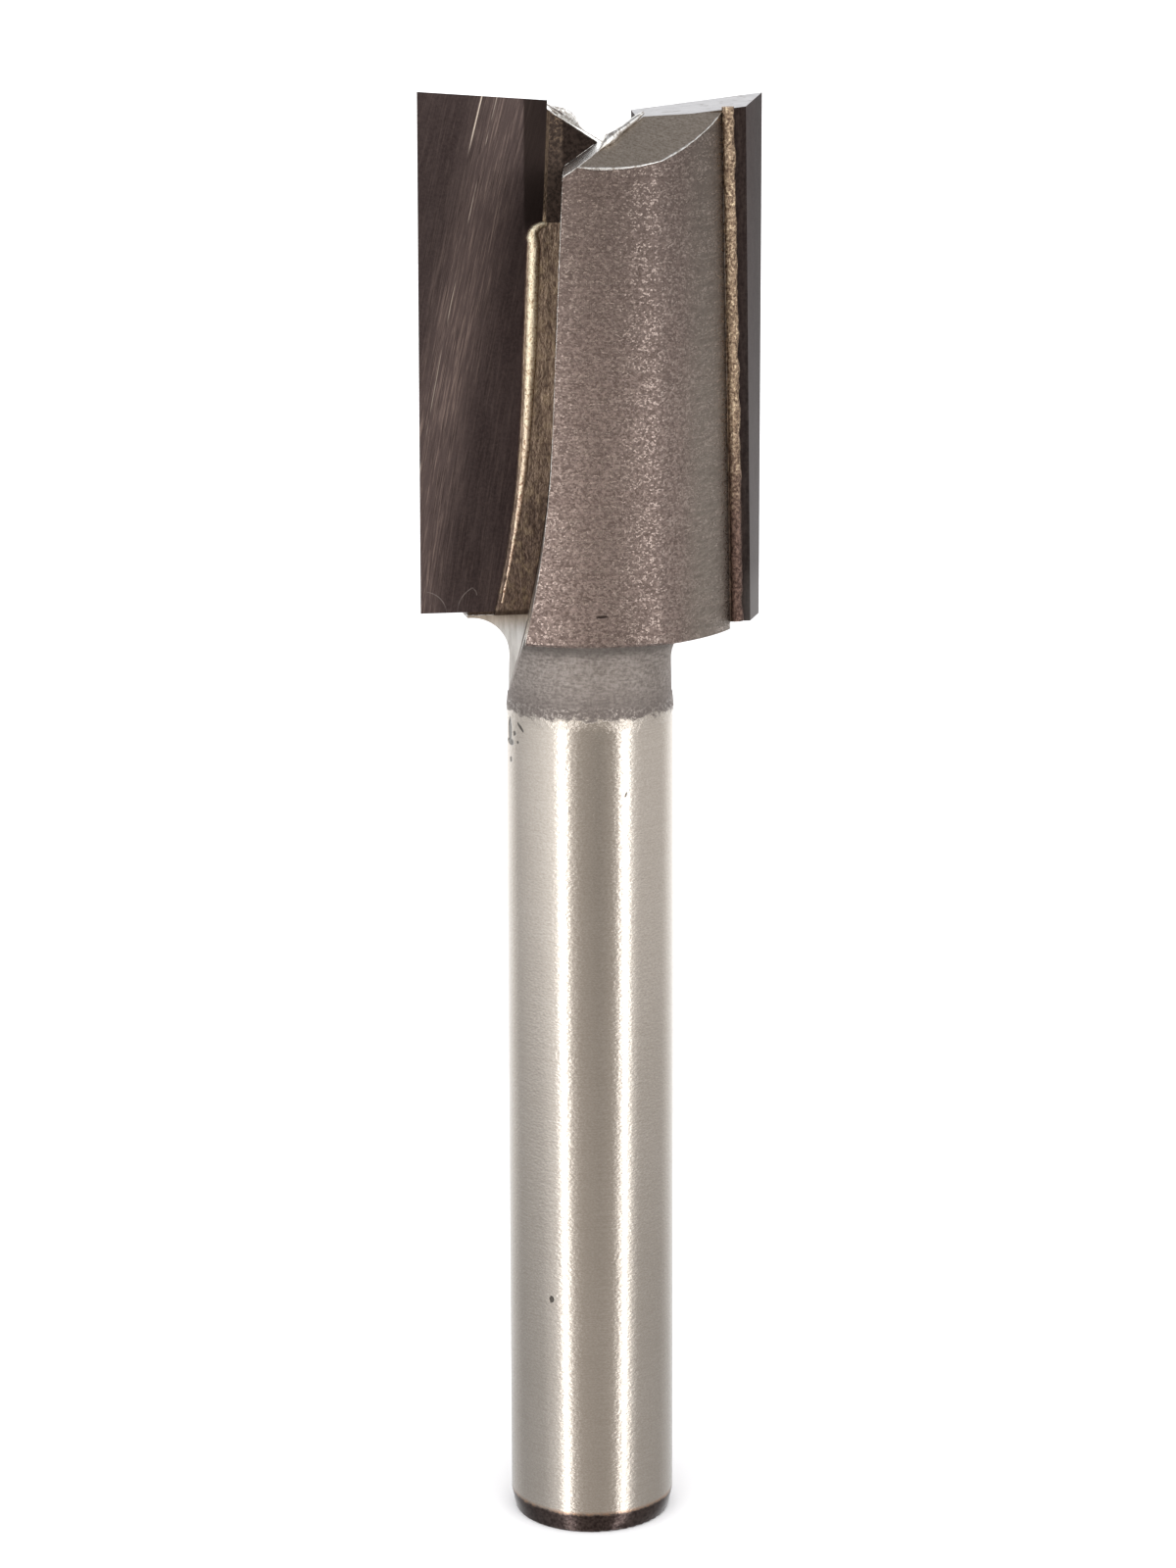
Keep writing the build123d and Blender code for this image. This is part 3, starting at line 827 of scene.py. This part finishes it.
def make_floor():
    """Pale floor that sweeps up far behind the bit."""
    mesh = bmesh.new()
    profile = [(-1.2, 0.0), (1.4, 0.0)]
    profile += [(1.4 + 0.5 * sin(radians(a)), 0.5 - 0.5 * cos(radians(a))) for a in range(6, 91, 6)]
    profile.append((1.9, 2.0))
    rows = [[mesh.verts.new((x, y, z)) for x in (-2.5, 2.5)] for y, z in profile]
    for (a, b), (c, d) in zip(rows, rows[1:]):
        mesh.faces.new((a, b, d, c)).smooth = True
    data = bpy.data.meshes.new("studio_floor")
    mesh.to_mesh(data)
    mesh.free()
    floor = bpy.data.objects.new("studio_floor", data)
    bpy.context.collection.objects.link(floor)
    f = Finish("white_floor")
    paper = f.noise(f.place, 0.02, 2.0)
    shader = f.add("ShaderNodeBsdfPrincipled", {"Roughness": 0.9})
    white = f.mix(f.fade(paper, 0.2, 0.8), (0.80, 0.80, 0.81), (0.82, 0.82, 0.83))
    f.set(shader.inputs["Base Color"], white)
    shader.inputs["Specular IOR Level"].default_value = 0.1
    f.add("ShaderNodeOutputMaterial", {"Surface": shader.outputs[0]})
    data.materials.append(f.material)
    floor.visible_glossy = False
    floor.visible_shadow = False


def make_surroundings():
    """Soft tent of light, brighter in two upright strips to the left and right of the front."""
    world = bpy.data.worlds.new("tent")
    bpy.context.scene.world = world
    world.use_nodes = True
    tree = world.node_tree
    tree.nodes.clear()
    where = tree.nodes.new("ShaderNodeTexCoord").outputs["Generated"]
    parts = tree.nodes.new("ShaderNodeSeparateXYZ")
    tree.links.new(where, parts.inputs[0])
    behind = tree.nodes.new("ShaderNodeMath")
    behind.operation = "MULTIPLY"
    behind.inputs[1].default_value = -1.0
    tree.links.new(parts.outputs["Y"], behind.inputs[0])
    bearing = tree.nodes.new("ShaderNodeMath")
    bearing.operation = "ARCTAN2"
    tree.links.new(parts.outputs["X"], bearing.inputs[0])
    tree.links.new(behind.outputs[0], bearing.inputs[1])
    turn = tree.nodes.new("ShaderNodeMapRange")
    turn.inputs["From Min"].default_value, turn.inputs["From Max"].default_value = -pi, pi
    tree.links.new(bearing.outputs[0], turn.inputs["Value"])
    # bearing from the front in degrees, how bright the tent is there at eye level, low down and
    # above eye level, and how warm
    tent = [(-180, 1.9, 0.8, 1.9, 0), (-140, 1.3, 0.62, 1.3, 0), (-118, 0.72, 0.48, 0.72, 0),
            (-75, 1.05, 0.58, 1.05, 0), (-52, 1.35, 0.95, 1.4, 0), (-45, 1.7, 1.2, 1.7, 0),
            (-43, 3.6, 3.0, 2.6, 0), (-34, 3.6, 3.0, 2.6, 0), (-30, 1.1, 0.95, 2.1, 0.5),
            (-16, 0.56, 0.56, 1.7, 1), (12, 0.40, 0.50, 1.5, 1), (32, 0.54, 0.54, 1.3, 1),
            (41, 1.15, 0.95, 1.3, 0.5), (44, 3.6, 3.0, 3.0, 0), (53, 3.6, 3.0, 3.0, 0),
            (56, 1.2, 1.15, 1.2, 0), (70, 0.82, 0.56, 0.82, 0.3), (118, 0.80, 0.50, 0.80, 0.3),
            (140, 1.3, 0.62, 1.3, 0), (180, 1.9, 0.8, 1.9, 0)]
    levels = []
    for column in (1, 2, 3):
        ramp = tree.nodes.new("ShaderNodeValToRGB")
        tree.links.new(turn.outputs[0], ramp.inputs[0])
        stops = ramp.color_ramp.elements
        while len(stops) < len(tent):
            stops.new(0.5)
        for stop, row in zip(stops, tent):
            stop.position = (row[0] + 180) / 360
            warm = row[4]
            level = row[column]
            stop.color = (level, level * (1 - 0.06 * warm), level * (1 - 0.12 * warm), 1.0)
        levels.append(ramp.outputs[0])

    def by_height(low, high, below, above):
        """Blend that follows how steeply one looks up, from -1 straight down to 1 straight up."""
        reach = tree.nodes.new("ShaderNodeMapRange")
        reach.inputs["From Min"].default_value, reach.inputs["From Max"].default_value = low, high
        tree.links.new(parts.outputs["Z"], reach.inputs["Value"])
        blend = tree.nodes.new("ShaderNodeMix")
        blend.data_type = "RGBA"
        tree.links.new(reach.outputs[0], blend.inputs[0])
        tree.links.new(below, blend.inputs[6])
        if isinstance(above, tuple):
            blend.inputs[7].default_value = above
        else:
            tree.links.new(above, blend.inputs[7])
        return blend.outputs[2]

    level = by_height(-0.42, -0.18, levels[1], levels[0])
    level = by_height(0.08, 0.18, level, levels[2])
    level = by_height(0.30, 0.50, level, (1.35, 1.35, 1.35, 1.0))
    level = by_height(0.60, 0.80, level, (0.42, 0.42, 0.43, 1.0))
    shade = tree.nodes.new("ShaderNodeBackground")
    tree.links.new(level, shade.inputs["Color"])
    out = tree.nodes.new("ShaderNodeOutputWorld")
    tree.links.new(shade.outputs[0], out.inputs["Surface"])


def make_lamp():
    """One very wide soft lamp high in front, for the floor and the soft shadow on it."""
    data = bpy.data.lights.new("overhead_lamp", "SUN")
    data.energy = 2.9
    data.angle = radians(100)
    lamp = bpy.data.objects.new("overhead_lamp", data)
    lamp.rotation_euler = (radians(42), 0.0, 0.0)
    lamp.visible_glossy = False
    bpy.context.collection.objects.link(lamp)


def make_camera():
    """Long view from just above the cutting end, looking down by about twelve degrees."""
    sensor_mm = 36.0
    focal_length, frame_height = 3687, 1600      # in one unit
    data = bpy.data.cameras.new("camera")
    data.sensor_width = sensor_mm
    data.lens = focal_length / frame_height * sensor_mm
    data.clip_start, data.clip_end = 0.01, 20.0
    camera = bpy.data.objects.new("camera", data)
    camera.location = mm(0.0, -134.0, 58.5)
    camera.rotation_euler = (radians(90 - 12.36), radians(0.16), 0.0)
    bpy.context.collection.objects.link(camera)
    bpy.context.scene.camera = camera


make_floor()
make_surroundings()
make_lamp()
make_camera()
bpy.context.scene.view_settings.view_transform = "Standard"
